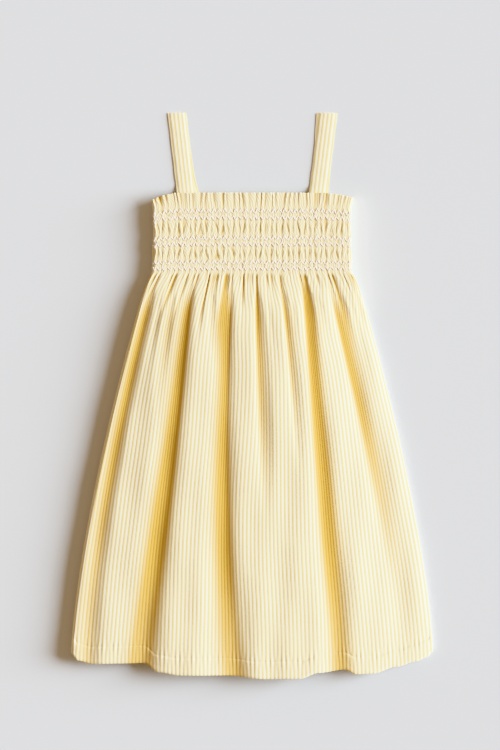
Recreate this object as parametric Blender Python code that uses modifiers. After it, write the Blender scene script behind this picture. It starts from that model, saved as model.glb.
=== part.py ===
"""Child's smocked strap dress in striped seersucker, laid flat on its back.

Four cut pieces: a front panel and a back panel, each smocked from its top edge
down to the waist and hanging free below, and two shoulder straps. Each strap is
sewn inside the front's top edge, folded over at the shoulder, and sewn inside
the back's top edge.

Metres, +Z up. The dress lies in the XY plane with its straps towards +Y, its
wearer's front facing up and its back panel flat on Z = 0.
"""

from collections import namedtuple
from math import cos, exp, pi, sin, sqrt

import bmesh
import bpy

MM = 0.001

# Driving sizes.
LENGTH = 600 * MM  # shoulder fold of the straps to the lowest point of the hem
STRAP_RISE = 86 * MM  # shoulder fold above the top edge
BODICE_DEPTH = 83 * MM  # top edge to the last row of smocking
BODICE_HALF = 106 * MM  # half the width of the smocked part as it lies
HEM_HALF = 192 * MM
CORNER_DROP = 404 * MM  # waist to the hem's side corners
STRAP_WIDTH = 19.6 * MM
CLOTH = 1.5 * MM  # wall of the front panel
BACK_CLOTH = 2.0 * MM  # wall of the back panel, whose gathers are pressed flat
STRAP_CLOTH = 1.6 * MM  # a strap is a folded tube of cloth
SEAM_GAP = 0.3 * MM

# Heights above the surface that the dress lies on.
BODICE_Z = 11.0 * MM  # valleys of the front's smocked pleats
CREST_Z = 20.5 * MM  # crests of the front skirt's folds
HEM_Z = 18.5 * MM  # the same at the hem
VALLEY_Z = 4.4 * MM  # deepest that a fold sinks
SEAM_Z = 2.5 * MM  # the front's side edges, which meet the back's
BODICE_ROUND = 9 * MM  # how far in from the side the cloth has rounded level
SKIRT_ROUND = 15 * MM
SEAM_FADE = 16 * MM  # folds die out this near to a side seam

# Smocking.
PLEATS = 39
COLUMNS_PER_PLEAT = 3
STITCH_LINES = [x * MM for x in (15.5, 22.5, 29.5, 44, 50.8, 57.5, 70, 76.5, 83)]
PINCHED = 0.6 * MM  # height of a pleat where a thread holds it
OPEN_PLEAT = 2.4 * MM  # and at the free top edge or halfway between two bands
BAND_PLEAT = 1.5 * MM  # and between the close lines of one band
CLOSE_LINES = 8 * MM  # lines nearer than this belong to one band
HONEYCOMB_SHIFT = 0.9 * MM  # sideways pull of neighbouring pleats inside a band

STRAP_FOLD_Y = LENGTH / 2
TOP_Y = STRAP_FOLD_Y - STRAP_RISE
WAIST_Y = TOP_Y - BODICE_DEPTH
SKIRT_DEPTH = WAIST_Y + LENGTH / 2

# The front skirt's troughs. The centre is a share of the half width, at the
# start, midway and end; start and end are in millimetres below the smocking;
# depth and width too, width being each flank's reach, times left or right.
Fold = namedtuple(
    "Fold", "at_top at_middle at_end start end depth end_depth width end_width left right"
)
FOLDS = [
    Fold(-0.93, -0.925, -0.91, 2, 400, 7.5, 1.0, 4.0, 6.5, 1.0, 1.0),
    Fold(-0.72, -0.685, -0.65, 4, 190, 4.5, 0.0, 4.0, 9.0, 1.0, 1.0),
    Fold(-0.57, -0.545, -0.62, 0, 415, 9.5, 7.5, 4.4, 11.0, 1.45, 0.75),
    Fold(-0.38, -0.33, -0.31, 6, 105, 3.5, 0.0, 3.6, 7.0, 1.0, 1.0),
    Fold(-0.205, -0.192, -0.10, 2, 420, 9.0, 5.5, 4.2, 10.0, 1.1, 0.9),
    Fold(-0.10, -0.085, -0.08, 4, 48, 2.5, 0.0, 3.4, 5.0, 1.0, 1.0),
    Fold(0.03, 0.07, 0.16, 4, 280, 5.5, 0.0, 4.0, 11.0, 0.8, 1.2),
    Fold(0.19, 0.20, 0.215, 4, 42, 2.5, 0.0, 3.4, 5.0, 1.0, 1.0),
    Fold(0.28, 0.30, 0.32, 4, 260, 3.5, 0.0, 3.6, 6.0, 1.0, 1.2),
    Fold(0.475, 0.430, 0.475, 0, 420, 9.0, 7.0, 4.4, 10.0, 0.65, 1.3),
    Fold(0.60, 0.60, 0.60, 8, 100, 2.5, 0.0, 3.6, 7.0, 1.0, 1.0),
    Fold(0.715, 0.785, 0.86, 4, 390, 5.0, 1.0, 4.0, 13.0, 0.8, 1.3),
    Fold(0.955, 0.95, 0.94, 6, 60, 3.5, 0.0, 3.4, 4.5, 1.0, 1.0),
]
FOLD_RISE = 24 * MM  # a fold reaches its depth this far below its start
WIDE_SHARE = 0.16  # part of each depth that spreads as a wide shallow hollow
WIDE_REACH = 3.0

# The front's hem as it lies: side position, and rise above its lowest point.
HemPoint = namedtuple("HemPoint", "x rise")
HEM = [
    HemPoint(-192, 27),
    HemPoint(-184, 19),
    HemPoint(-170, 15.5),
    HemPoint(-142, 16),
    HemPoint(-114, 16.5),
    HemPoint(-99, 7),
    HemPoint(-76, 3.7),
    HemPoint(-28, 3.7),
    HemPoint(12, 0),
    HemPoint(50, 0.3),
    HemPoint(70, 6.6),
    HemPoint(98, 9.5),
    HemPoint(110, 4.6),
    HemPoint(128, 5.4),
    HemPoint(153, 12.4),
    HemPoint(174, 18),
    HemPoint(186, 22.5),
    HemPoint(192, 28),
]

# Where each strap's centre line lies, and how its underneath half strays.
StrapLine = namedtuple("StrapLine", "name x_fold x_bodice x_fold_under x_bodice_under")
STRAPS = [
    StrapLine("strap_left", -80.0, -70.2, -79.6, -64.8),
    StrapLine("strap_right", 80.6, 70.0, 77.6, 70.6),
]
STRAP_TUCK = 14 * MM  # length of strap inside the top edge

GARMENT = "smocked_dress"


def smooth(x):
    x = min(1.0, max(0.0, x))
    return x * x * (3 - 2 * x)


def blend(a, b, share):
    return a + (b - a) * share


def through_three(a, b, c, share):
    """The parabola through a at 0, b at a half and c at 1."""
    return a + share * (4 * b - 3 * a - c) + share * share * (2 * a - 4 * b + 2 * c)


# The outline seen from above.
def half_width(below_waist):
    """Half the width of the dress as it lies, at a distance below the smocking."""
    if below_waist <= 0:
        up = -below_waist / BODICE_DEPTH
        return BODICE_HALF - 0.9 * MM * sin(pi * up) + 1.2 * MM * smooth((up - 0.75) / 0.25)
    share = min(1.0, below_waist / CORNER_DROP)
    puff = 4 * MM * (1 - exp(-below_waist / (12 * MM)))
    return BODICE_HALF + puff + (HEM_HALF - BODICE_HALF - 4 * MM) * (1 - (1 - share) ** 1.42)


def hem_rise(share):
    """Rise of the hem at a share of its half width, eased between the named points."""
    x = share * HEM_HALF / MM
    for a, b in zip(HEM, HEM[1:]):
        if x <= b.x:
            break
    return blend(a.rise, b.rise, smooth((x - a.x) / (b.x - a.x))) * MM


def top_drop(share):
    """The top edge falls away towards the sides."""
    left = max(0.0, (-share - 0.77) / 0.23)
    right = max(0.0, (share - 0.74) / 0.26)
    return 7.4 * MM * left**1.5 + 4.8 * MM * right**1.5


def skirt_y(share, down, extra_rise=0.0):
    """Y at a share of the way from the waist down to the hem."""
    return WAIST_Y - down * (SKIRT_DEPTH - hem_rise(share) - extra_rise)


# The cross section.
def below_waist_of(y):
    return WAIST_Y - y


def section(across, below_waist):
    """X and height of the outermost cloth; across runs from -1 to 1 along its length."""
    into_skirt = smooth(below_waist / (60 * MM))
    width = half_width(below_waist)
    side = blend(BODICE_ROUND, SKIRT_ROUND, into_skirt)
    crest = blend(CREST_Z, HEM_Z, smooth(below_waist / SKIRT_DEPTH))
    top = blend(BODICE_Z, crest, into_skirt)
    quarter = pi / 2 * sqrt((side**2 + (top - SEAM_Z) ** 2) / 2)
    walked = abs(across) * (width - side + quarter)
    if walked <= width - side:
        x, z = walked, top
    else:
        turn = (walked - width + side) / quarter * pi / 2
        x = width - side + side * sin(turn)
        z = SEAM_Z + (top - SEAM_Z) * cos(turn)
    return (x if across >= 0 else -x), z


def trough(x, below_waist):
    """How far the folds sink the cloth there."""
    width = half_width(below_waist)
    total = 0.0
    for fold in FOLDS:
        start, end = fold.start * MM, fold.end * MM
        along = min(1.0, max(0.0, (below_waist - start) / (end - start)))
        if below_waist <= start or (along == 1.0 and fold.end_depth == 0):
            continue
        centre = width * through_three(fold.at_top, fold.at_middle, fold.at_end, along)
        depth = blend(fold.depth, fold.end_depth, smooth(along * 1.25 - 0.25)) * MM
        depth *= smooth((below_waist - start) / FOLD_RISE)
        reach = blend(fold.width, fold.end_width, sqrt(along)) * MM
        reach *= fold.left if x < centre else fold.right
        away = (x - centre) / reach
        total += depth * (1 - WIDE_SHARE) * exp(-(away**2))
        total += depth * WIDE_SHARE * exp(-((away / WIDE_REACH) ** 2))
    return total


def front_base(across, below_waist):
    """X and Z of the front panel's outside, without its small pleats."""
    x, z = section(across, below_waist)
    if below_waist > 0:
        from_seam = (1 - abs(across)) * half_width(below_waist)
        sunk = trough(x, below_waist) * smooth((from_seam - 6 * MM) / SEAM_FADE)
        over = z - sunk - VALLEY_Z
        ease = 1.6 * MM
        eased = VALLEY_Z + (over + sqrt(over**2 + ease**2)) / 2
        z = blend(z, min(z, eased), min(1.0, sunk / MM))
    return x, z


def front_inside(across, below_waist):
    """The point one wall in from front_base, square to it in the section."""
    step = 0.004
    low, high = max(-1.0, across - step), min(1.0, across + step)
    x0, z0 = front_base(low, below_waist)
    x1, z1 = front_base(high, below_waist)
    length = sqrt((x1 - x0) ** 2 + (z1 - z0) ** 2)
    x, z = front_base(across, below_waist)
    return x + (z1 - z0) / length * CLOTH, z - (x1 - x0) / length * CLOTH


# Pleats of the smocking and of the gathers below it.
def pleat_height(below_top):
    """Crest of a pleat above its valleys: pinched at each line of thread."""
    lines = STITCH_LINES
    if below_top <= lines[0]:
        return blend(PINCHED, OPEN_PLEAT, sin(pi / 2 * (1 - below_top / lines[0])))
    for a, b in zip(lines, lines[1:]):
        if below_top <= b:
            full = BAND_PLEAT if b - a < CLOSE_LINES else OPEN_PLEAT
            return blend(PINCHED, full, sin(pi * (below_top - a) / (b - a)))
    past = below_top - lines[-1]
    return (PINCHED + 1.7 * MM * smooth(past / (7 * MM))) * exp(-past / (26 * MM))


def honeycomb(below_top):
    """Which way neighbouring pleats lean, from -1 to 1, inside a band."""
    for first in range(0, len(STITCH_LINES), 3):
        a, b = STITCH_LINES[first], STITCH_LINES[first + 2]
        if a < below_top < b:
            return sin(2 * pi * (below_top - a) / (b - a))
    return 0.0


def lean(share, below_top):
    """Sideways stray of the pleats at the free top edge."""
    free = max(0.0, 1 - below_top / STITCH_LINES[0])
    uneven = 0.9 * MM * sin(23 * share) + 0.5 * MM * sin(41 * share + 1)
    return free * (uneven * (1 - share**4) + 1.2 * MM * share**3)


def pleated(across, below_top):
    """Sideways shift and rise that the pleats add to the front's outside."""
    place = (across + 1) / 2 * PLEATS
    number = int(place)
    within = place - number
    crest = (0.5 - 0.5 * cos(2 * pi * within)) ** 0.6
    side_fade = min(1.0, (1 - abs(across)) * PLEATS / 2)
    turn = 1 if number % 2 else -1
    shift = HONEYCOMB_SHIFT * turn * honeycomb(below_top) * sin(pi * within) ** 2
    shift = (shift + lean(across, below_top)) * side_fade
    return shift, crest * pleat_height(below_top) * side_fade


# Building a wall from rows of points.
def bridge(bm, row_a, row_b):
    """Triangles between two rows of (place, vertex), which may differ in number."""
    i = j = 0
    while i < len(row_a) - 1 or j < len(row_b) - 1:
        next_a = row_a[i + 1][0] if i < len(row_a) - 1 else 9.0
        next_b = row_b[j + 1][0] if j < len(row_b) - 1 else 9.0
        if next_a <= next_b:
            bm.faces.new((row_a[i][1], row_b[j][1], row_a[i + 1][1]))
            i += 1
        else:
            bm.faces.new((row_a[i][1], row_b[j][1], row_b[j + 1][1]))
            j += 1


def add_row(bm, places, point_at):
    return [(place, bm.verts.new(point_at(place))) for place in places]


def edge_of(rows, side):
    """The first or last vertex of each row, placed by its distance down the panel."""
    return [(-row[side][1].co.y, row[side][1]) for row in rows]


def wall(name, bm, outer_rows, inner_rows, colour):
    """Closes an outer and an inner stack of rows into one wall of cloth."""
    for rows in (outer_rows, inner_rows):
        for row_a, row_b in zip(rows, rows[1:]):
            bridge(bm, row_a, row_b)
    bridge(bm, outer_rows[0], inner_rows[0])
    bridge(bm, outer_rows[-1], inner_rows[-1])
    for side in (0, -1):
        bridge(bm, edge_of(outer_rows, side), edge_of(inner_rows, side))
    bmesh.ops.recalc_face_normals(bm, faces=bm.faces)
    mesh = bpy.data.meshes.new(name)
    bm.to_mesh(mesh)
    bm.free()
    mesh.shade_smooth()
    return place_in_garment(name, mesh, colour)


def place_in_garment(name, mesh, colour):
    obj = bpy.data.objects.new(name, mesh)
    bpy.data.collections[GARMENT].objects.link(obj)
    obj.data.materials.append(cloth_material(name, colour))
    return obj


def cloth_material(name, colour):
    material = bpy.data.materials.new(name + "_seersucker")
    material.use_nodes = True
    shader = material.node_tree.nodes["Principled BSDF"]
    shader.inputs["Base Color"].default_value = (*colour, 1)
    shader.inputs["Roughness"].default_value = 0.85
    shader.inputs["Metallic"].default_value = 0
    return material


# Where the columns and rows of the panels lie.
def even(count):
    return [2 * n / count - 1 for n in range(count + 1)]


def closer_at_folds(count):
    """Columns from -1 to 1, closer together where the deep folds run."""
    samples = 2000
    crowding = [0.0]
    for n in range(samples):
        at = 2 * (n + 0.5) / samples - 1
        dense = 1.0
        for fold in FOLDS:
            near = exp(-(((at - fold.at_middle) / 0.055) ** 2))
            dense += 0.16 * fold.depth * near
        crowding.append(crowding[-1] + dense)
    places = []
    reached = 0
    for n in range(count + 1):
        target = crowding[-1] * n / count
        while reached < samples and crowding[reached] < target:
            reached += 1
        places.append(2 * reached / samples - 1)
    return places


def smocked_rows():
    """Distances below the top edge that carry the smocking's form."""
    rows = [0.0, STITCH_LINES[0] * 0.36, STITCH_LINES[0] * 0.72]
    for a, b in zip(STITCH_LINES, STITCH_LINES[1:]):
        steps = 2 if b - a < CLOSE_LINES else 3
        rows += [a + (b - a) * n / steps for n in range(steps)]
    return rows + [STITCH_LINES[-1]]


GATHER_ROWS = [x * MM for x in (5, 12, 21, 32, 45)]
SKIRT_ROWS = [0.145, 0.19, 0.245, 0.31, 0.385, 0.47, 0.56, 0.65, 0.74, 0.83, 0.915, 1.0]
INNER_GATHER_ROWS = [x * MM for x in (14, 30)]


def front_panel():
    bm = bmesh.new()
    pleat_columns = even(PLEATS * COLUMNS_PER_PLEAT)
    fold_columns = closer_at_folds(84)

    def smocked_point(below_top):
        def at(across):
            x, z = front_base(across, below_top - BODICE_DEPTH)
            shift, rise = pleated(across, below_top)
            drop = top_drop(x / BODICE_HALF) * max(0.0, 1 - below_top / BODICE_DEPTH)
            scallop = 0.5 * rise if below_top == 0 else 0.0
            return x + shift, TOP_Y - below_top - drop + scallop, z + rise

        return at

    def skirt_point(down):
        def at(across):
            share = across * 0.985
            y = skirt_y(share, down)
            x, z = front_base(across, below_waist_of(y))
            return x, y, z

        return at

    def inside_point(y_at):
        def at(across):
            y = y_at(across)
            x, z = front_inside(across, below_waist_of(y))
            return x, y, z

        return at

    outer = [add_row(bm, pleat_columns, smocked_point(d)) for d in smocked_rows()]
    outer += [
        add_row(bm, pleat_columns, smocked_point(BODICE_DEPTH + d)) for d in GATHER_ROWS
    ]
    outer += [add_row(bm, fold_columns, skirt_point(down)) for down in SKIRT_ROWS]

    def bodice_y(below_top):
        def at(across):
            x, _ = front_base(across, below_top - BODICE_DEPTH)
            fall = max(0.0, 1 - below_top / BODICE_DEPTH)
            return TOP_Y - below_top - top_drop(x / BODICE_HALF) * fall

        return at

    inner = [
        add_row(bm, fold_columns, inside_point(bodice_y(below_top)))
        for below_top in (0.0, BODICE_DEPTH / 2, BODICE_DEPTH)
    ]
    inner += [
        add_row(bm, fold_columns, inside_point(bodice_y(BODICE_DEPTH + d)))
        for d in INNER_GATHER_ROWS
    ]
    inner += [
        add_row(bm, fold_columns, inside_point(lambda a, d=d: skirt_y(a * 0.985, d)))
        for d in [0.105] + SKIRT_ROWS
    ]
    return wall("front_panel", bm, outer, inner, (0.93, 0.86, 0.60))


def back_panel():
    """The back: a flat sheet of the same outline, a little short of the front's ends."""
    across = [-1, -0.96, -0.78, -0.5, -0.25, 0, 0.25, 0.5, 0.78, 0.96, 1]
    levels = [0.0, 0.1, 0.25, 0.5, 0.75, 1.0]
    down_skirt = [0.015, 0.035, 0.06, 0.1, 0.15, 0.21, 0.29, 0.38, 0.48, 0.58, 0.69, 0.8]
    down_skirt += [0.9, 1.0]
    hem_columns = [point.x * MM / HEM_HALF for point in HEM]
    across = sorted(set(across + hem_columns))
    bm = bmesh.new()
    bmesh.ops.create_grid(
        bm, x_segments=len(across) - 1, y_segments=len(levels) + len(down_skirt) - 1
    )
    bm.verts.ensure_lookup_table()
    for number, vert in enumerate(bm.verts):
        row, column = divmod(number, len(across))
        share = across[column]
        if row < len(down_skirt):
            down = down_skirt[len(down_skirt) - 1 - row]
            y = skirt_y(share, down, extra_rise=3 * MM)
        else:
            level = levels[len(levels) - 1 - (row - len(down_skirt))]
            drop = (top_drop(share) + 1.5 * MM) * (1 - level)
            y = TOP_Y - level * BODICE_DEPTH - drop
        vert.co = (share * half_width(below_waist_of(y)), y, 0)
    mesh = bpy.data.meshes.new("back_panel")
    bm.to_mesh(mesh)
    bm.free()
    obj = place_in_garment("back_panel", mesh, (0.90, 0.83, 0.58))
    shell = obj.modifiers.new("wall", "SOLIDIFY")
    shell.thickness = BACK_CLOTH
    shell.offset = 1
    return obj


def strap_path(line):
    """Centre points (x, y, z) from the front's inside, over the fold, to the back's."""
    half = STRAP_CLOTH / 2
    front_z = BODICE_Z - CLOTH - SEAM_GAP - half
    back_z = BACK_CLOTH + SEAM_GAP + half
    fold_radius = half + SEAM_GAP
    under_z = half + 0.05 * MM
    over_z = under_z + 2 * fold_radius
    reach = STRAP_RISE - half - fold_radius
    points = []
    for n in range(15):
        up = -STRAP_TUCK + (reach + STRAP_TUCK) * n / 14
        share = max(0.0, up / reach)
        z = blend(front_z, over_z, smooth(share * 1.12))
        points.append((blend(line.x_bodice, line.x_fold, share) * MM, TOP_Y + up, z))
    for n in range(1, 6):
        turn = pi * n / 6
        x = blend(line.x_fold, line.x_fold_under, n / 6) * MM
        y = TOP_Y + reach + fold_radius * sin(turn)
        points.append((x, y, under_z + fold_radius * (1 + cos(turn))))
    for n in range(15):
        up = reach - (reach + STRAP_TUCK) * n / 14
        share = max(0.0, up / reach)
        x = blend(line.x_bodice_under, line.x_fold_under, share) * MM
        z = blend(back_z, under_z, smooth((share - 0.05) * 4.5))
        points.append((x, TOP_Y + up, z))
    return points


def strap(line):
    """A flat folded tube of cloth, bent along its path, thinner at its two edges."""
    path = strap_path(line)
    across = [-0.5, -0.45, -0.2, 0.2, 0.45, 0.5]
    last = len(across) - 1
    bm = bmesh.new()
    bmesh.ops.create_grid(bm, x_segments=last, y_segments=len(path) - 1)
    bm.verts.ensure_lookup_table()
    for number, vert in enumerate(bm.verts):
        row, column = divmod(number, len(across))
        x, y, z = path[row]
        vert.co = (x + across[column] * STRAP_WIDTH, y, z)
    mesh = bpy.data.meshes.new(line.name)
    bm.to_mesh(mesh)
    bm.free()
    mesh.shade_smooth()
    obj = place_in_garment(line.name, mesh, (0.93, 0.87, 0.62))
    full = obj.vertex_groups.new(name="full_thickness")
    between = [n for n in range(len(mesh.vertices)) if n % (last + 1) not in (0, last)]
    full.add(between, 1.0, "REPLACE")
    shell = obj.modifiers.new("folded_tube", "SOLIDIFY")
    shell.thickness = STRAP_CLOTH
    shell.offset = 0
    shell.use_even_offset = True
    shell.vertex_group = full.name
    shell.thickness_vertex_group = 0.45
    return obj


def clear_scene():
    for obj in list(bpy.data.objects):
        bpy.data.objects.remove(obj)


def main():
    clear_scene()
    collection = bpy.data.collections.new(GARMENT)
    bpy.context.scene.collection.children.link(collection)
    front_panel()
    back_panel()
    for line in STRAPS:
        strap(line)


main()
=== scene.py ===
# %% [markdown]
# # A smocked sundress, laid flat
# The dress is a child's: a smocked bodice under a pleated heading, a gathered skirt
# that flares to a turned hem, and two straps folded over at the shoulder. It lies
# on its back on a pale surface and is seen from straight above.
#
# The frame already holds a plain solid for each piece of cloth. This lesson gives
# each one its real surface: a thin wall of striped seersucker that lies in the
# same place, with finer pleats and creases, and then the thread that holds it.

# %% Load the frame
from collections import namedtuple
from math import cos, pi, radians, sin

import bmesh
import bpy
import numpy as np
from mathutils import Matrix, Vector


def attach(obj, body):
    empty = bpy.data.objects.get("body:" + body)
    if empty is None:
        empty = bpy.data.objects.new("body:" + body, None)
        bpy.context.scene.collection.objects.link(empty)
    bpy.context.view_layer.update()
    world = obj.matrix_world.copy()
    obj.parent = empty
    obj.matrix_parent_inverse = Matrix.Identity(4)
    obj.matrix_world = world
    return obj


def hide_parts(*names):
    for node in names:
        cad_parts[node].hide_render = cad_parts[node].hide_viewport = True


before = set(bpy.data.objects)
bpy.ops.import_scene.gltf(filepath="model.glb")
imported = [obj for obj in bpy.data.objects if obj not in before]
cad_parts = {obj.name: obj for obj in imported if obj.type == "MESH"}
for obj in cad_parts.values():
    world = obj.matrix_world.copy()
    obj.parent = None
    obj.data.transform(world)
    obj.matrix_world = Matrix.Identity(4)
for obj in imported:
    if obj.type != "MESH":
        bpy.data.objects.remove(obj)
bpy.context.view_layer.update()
MM = 0.001

# %% [markdown]
# ## Sizes
# Everything below is worked out from the garment's own sizes, in metres. Most are
# those that the solids were made from, so the cloth falls where the solids are. Thin
# cloth turns tighter than a thick wall, so its edges and folds have their own sizes.

# %% Name the sizes
LENGTH = 600 * MM
STRAP_RISE = 86 * MM
BODICE_DEPTH = 83 * MM
BODICE_HALF = 106 * MM
HEM_HALF = 192 * MM
CORNER_DROP = 404 * MM
STRAP_WIDTH = 19.6 * MM
STRAP_FOLD_Y = LENGTH / 2
TOP_Y = STRAP_FOLD_Y - STRAP_RISE
WAIST_Y = TOP_Y - BODICE_DEPTH
SKIRT_DEPTH = WAIST_Y + LENGTH / 2

BODICE_Z = 11.0 * MM
CREST_Z = 20.5 * MM
HEM_Z = 18.5 * MM
VALLEY_Z = 4.4 * MM
SEAM_Z = 2.5 * MM
BODICE_ROUND = 3 * MM  # how far in from the side the cloth has rounded level
SKIRT_ROUND = 15 * MM  # the same down the skirt's right side
LEFT_ROUND = 3.5 * MM  # and down its left side
SKIRT_RISE = 60 * MM  # the skirt has its full form this far under the smocking
PUFF = 4 * MM  # the skirt bulges out this much just under the smocking
LIP = 0.5  # how far a ridge leans over the valley beside it, as a share of its steep side
SEAM_KEPT = 2 * MM  # no fold comes nearer to a side seam than this
SEAM_FADE = 9 * MM  # and within this distance of there a fold gains its depth
FOLD_RISE = 50 * MM  # a fold reaches its depth this far below its start
FOLD_SOFT = 1.6 * MM  # how softly a fold's bottom levels out
WIDE_SHARE = 0.16  # part of each depth that spreads as a wide shallow hollow
WIDE_REACH = 3.0
EVENING = 0.75  # how far a fold's two sides even out on the way to its end
CLOTH_DEPTH = 0.48  # the thin cloth's folds are this share as deep as the solid's
CLOTH_WIDTH = 0.62  # and this share as wide at the smocking, widening to the hem
LEFT_SLOPE = 0.40  # how far the flanks slope down towards their edges
RIGHT_SLOPE = 0.78

PLEATS = 39
BANDS = [(15.5, 22.5, 29.5), (44, 50.8, 57.5), (70, 76.5, 83)]  # millimetres below the top
STITCH_LINES = np.array([line for band in BANDS for line in band]) * MM
HEADING_DEPTH = STITCH_LINES[0]
LAST_LINE = STITCH_LINES[-1]
CUT_WIDTH = 412 * MM  # the panel's flat width, gathered to half by the smocking
STRIPE_PITCH = 4.2 * MM
STRIPES = round(CUT_WIDTH / STRIPE_PITCH)
HEM_TURN = 18 * MM
GATHER_DEPTH = 45 * MM  # rows of points stay close this far under the smocking
print("stripes across a panel:", STRIPES)

# %% [markdown]
# ## The folds of the skirt
# A fold starts at the smocking, keeps its place across the skirt as the cloth
# flares, and fades or runs out at the hem. One row of a table says all that for
# each: its centre as a share of the half width at three places, then millimetres,
# then two factors for its reach to the left and right. The solid has the same
# thirteen, about twice as deep. The fine creases after them are too shallow for it.

# %% Table of folds and creases
Fold = namedtuple(
    "Fold", "at_top at_middle at_end start end depth end_depth width end_width left right"
)
FOLDS = [
    Fold(-0.915, -0.905, -0.895, 2, 390, 5.4, 3.0, 5.0, 8.0, 1.45, 1.0),
    Fold(-0.72, -0.685, -0.65, 4, 190, 3.5, 0.0, 4.0, 9.0, 1.3, 0.8),
    Fold(-0.568, -0.538, -0.622, 0, 430, 6.9, 11.2, 4.8, 15.0, 1.75, 1.1),
    Fold(-0.38, -0.33, -0.31, 6, 105, 3.5, 0.0, 3.6, 7.0, 1.0, 1.0),
    Fold(-0.194, -0.180, -0.094, 2, 435, 6.3, 9.2, 4.6, 15.0, 1.7, 1.1),
    Fold(-0.10, -0.085, -0.08, 4, 48, 2.5, 0.0, 3.4, 5.0, 1.0, 1.0),
    Fold(0.03, 0.07, 0.12, 4, 340, 5.5, 0.0, 4.0, 11.0, 0.7, 1.6),
    Fold(0.19, 0.20, 0.215, 4, 42, 2.5, 0.0, 3.4, 5.0, 1.0, 1.0),
    Fold(0.28, 0.30, 0.32, 4, 260, 5.0, 0.0, 3.6, 7.0, 0.6, 1.8),
    Fold(0.480, 0.440, 0.487, 0, 430, 9.0, 8.6, 4.4, 14.5, 0.65, 1.7),
    Fold(0.60, 0.60, 0.60, 8, 100, 2.5, 0.0, 3.6, 7.0, 1.0, 1.0),
    Fold(0.715, 0.785, 0.86, 4, 400, 6.5, 1.6, 5.0, 16.0, 0.65, 1.7),
    Fold(0.955, 0.95, 0.94, 4, 75, 5.0, 0.0, 3.6, 4.5, 1.0, 1.0),
]
CREASES = [
    Fold(-0.83, -0.80, -0.79, 5, 150, 1.6, 0.0, 2.6, 6.0, 1.2, 0.8),
    Fold(-0.47, -0.44, -0.43, 5, 90, 1.5, 0.0, 2.4, 5.0, 0.8, 1.2),
    Fold(-0.30, -0.27, -0.26, 5, 130, 1.3, 0.0, 2.4, 6.0, 1.0, 1.0),
    Fold(-0.03, -0.02, 0.01, 5, 70, 1.2, 0.0, 2.2, 5.0, 1.0, 1.0),
    Fold(0.13, 0.16, 0.20, 5, 110, 1.3, 0.0, 2.2, 5.0, 1.0, 1.0),
    Fold(0.38, 0.36, 0.37, 5, 120, 1.6, 0.0, 2.4, 6.0, 1.2, 0.8),
    Fold(0.55, 0.52, 0.54, 5, 160, 1.4, 0.0, 2.6, 8.0, 0.8, 1.4),
    Fold(0.81, 0.83, 0.86, 5, 150, 1.5, 0.0, 2.4, 6.0, 1.0, 1.0),
    Fold(0.88, 0.90, 0.94, 5, 210, 1.6, 0.0, 2.6, 7.0, 1.0, 1.0),
]

HemPoint = namedtuple("HemPoint", "x rise")
HEM = [
    HemPoint(-192, 27),
    HemPoint(-184, 19),
    HemPoint(-170, 15.5),
    HemPoint(-142, 16),
    HemPoint(-114, 16.5),
    HemPoint(-99, 7),
    HemPoint(-76, 3.7),
    HemPoint(-28, 3.7),
    HemPoint(12, 0),
    HemPoint(50, 0.3),
    HemPoint(70, 6.6),
    HemPoint(98, 9.5),
    HemPoint(110, 4.6),
    HemPoint(128, 5.4),
    HemPoint(153, 12.4),
    HemPoint(174, 18),
    HemPoint(186, 22.5),
    HemPoint(192, 28),
]
print(len(FOLDS), "folds,", len(CREASES), "creases,", len(HEM), "hem points")

# %% [markdown]
# ## The form of the cloth as functions
# The form is worked out for a whole grid of places at once with arrays, because a
# loop over ninety thousand points would be slow. `across` runs from -1 to 1 along
# the cloth's cross section, and `below_waist` is the distance under the smocking.

# %% Outline seen from above
def smooth(x):
    x = np.clip(x, 0.0, 1.0)
    return x * x * (3 - 2 * x)


def blend(a, b, share):
    return a + (b - a) * share


def through_three(a, b, c, share):
    return a + share * (4 * b - 3 * a - c) + share * share * (2 * a - 4 * b + 2 * c)


def half_width(below_waist):
    up = np.clip(-below_waist / BODICE_DEPTH, 0, 1)
    bodice = BODICE_HALF - 0.9 * MM * np.sin(pi * up) + 1.2 * MM * smooth((up - 0.75) / 0.25)
    down = np.maximum(below_waist, 0)
    share = np.minimum(1.0, down / CORNER_DROP)
    puff = PUFF * (1 - np.exp(-down / (3 * PUFF)))
    skirt = BODICE_HALF + puff + (HEM_HALF - BODICE_HALF - PUFF) * (1 - (1 - share) ** 1.42)
    return np.where(below_waist <= 0, bodice, skirt)


def hem_rise(share):
    """Rise of the hem at a share of its half width, eased between the named points."""
    x = np.asarray(share) * HEM_HALF / MM
    xs = np.array([point.x for point in HEM], float)
    rises = np.array([point.rise for point in HEM])
    n = np.clip(np.searchsorted(xs, x, side="left") - 1, 0, len(HEM) - 2)
    return blend(rises[n], rises[n + 1], smooth((x - xs[n]) / (xs[n + 1] - xs[n]))) * MM


def hem_share(across):
    """Place across the hem, seen from above, as a share of its half width."""
    return section(across, np.full_like(across, SKIRT_DEPTH))[0] / HEM_HALF


def top_drop(share):
    left = np.maximum(0.0, (-share - 0.77) / 0.23)
    right = np.maximum(0.0, (share - 0.74) / 0.26)
    return 7.4 * MM * left**1.5 + 4.8 * MM * right**1.5


print("half width at waist and hem:", half_width(np.array([0.0, SKIRT_DEPTH])))


# %% [markdown]
# Cut across, the front is a low arch: level in the middle and rounded down to the
# side seams. Folds sink into it. Most real folds lean, with one side steep and the
# other gentle, so each has two widths and its steep side hangs over a little.

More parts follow.
